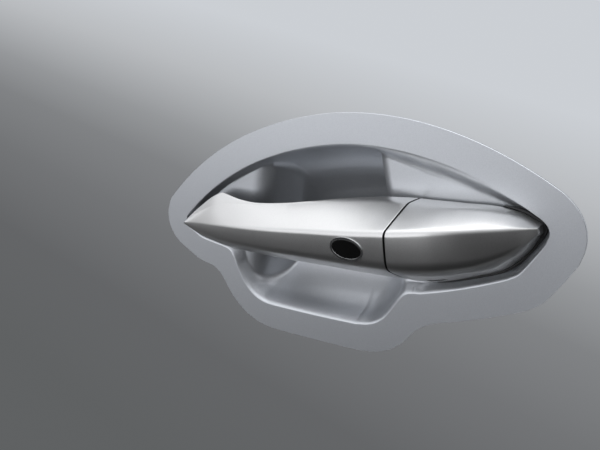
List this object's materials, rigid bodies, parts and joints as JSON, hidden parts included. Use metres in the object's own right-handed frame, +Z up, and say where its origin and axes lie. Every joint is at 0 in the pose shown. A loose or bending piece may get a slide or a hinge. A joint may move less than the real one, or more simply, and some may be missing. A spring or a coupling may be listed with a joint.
{
  "type": "car door handle",
  "caption": "Outer pull handle for a car door in its pressed recess cup, with a push button, a cap over the key lock, and the carrier and release lever behind.",
  "frame": {"origin": "middle of the weld stud pattern and of the recess, on the back face of the cup's flange", "axes": "+X along the handle to the rear of the car, +Y into the door, +Z up"},
  "size_m": [0.2746, 0.0855, 0.1342],
  "materials": {
    "cup_paint": "metallic gloss",
    "handle_paint": "metallic satin",
    "bare_steel": "bare",
    "carrier_nylon": "moulded",
    "zinc_steel": "zinc plated",
    "pin_steel": "ground",
    "rubber": "matte",
    "lock_casting": "cast",
    "lock_brass": "machined",
    "tail_steel": "yellow zinc plated",
    "spring_steel": "drawn",
    "lever_casting": "die cast",
    "socket_plastic": "moulded",
    "inner_plastic": "grained",
    "ring_chrome": "bright",
    "button_black": "gloss"
  },
  "bodies": {
    "cup": {"handle_cup": "cup_paint", "weld_studs": "bare_steel", "carrier": "carrier_nylon", "carrier_screws": "zinc_steel", "hook_pin": "pin_steel", "front_gasket": "rubber", "cap_gasket": "rubber", "lock_housing": "lock_casting", "end_cap": "handle_paint", "lever_pin": "pin_steel", "lever_spring": "spring_steel", "lead_socket": "socket_plastic"},
    "grip": {"grip_cover": "handle_paint", "grip_base": "inner_plastic", "button_ring": "ring_chrome", "push_button": "button_black"},
    "lever": {"release_lever": "lever_casting"},
    "lock": {"lock_plug": "lock_brass", "lock_tail": "tail_steel"}
  },
  "joints": [
    {"name": "grip_pull", "type": "hinge", "parent": "cup", "child": "grip", "pos_m": [-0.11, 0.0093, 0], "axis": [0, 0, -1], "range_deg": [0, 9], "stiffness_Nm_per_rad": 3, "springref_deg": -11.46},
    {"name": "lever_turn", "type": "hinge", "parent": "cup", "child": "lever", "pos_m": [0.0465, 0.033, 0.022], "axis": [-1, 0, 0], "range_deg": [0, 58.5]},
    {"name": "lock_turn", "type": "hinge", "parent": "cup", "child": "lock", "pos_m": [0.082, 0, -0.0045], "axis": [0, 1, 0], "range_deg": [-45, 45]}
  ],
  "couplings": [
    {"joint": "lever_turn", "follows": "grip_pull", "ratio": 6.5}
  ]
}
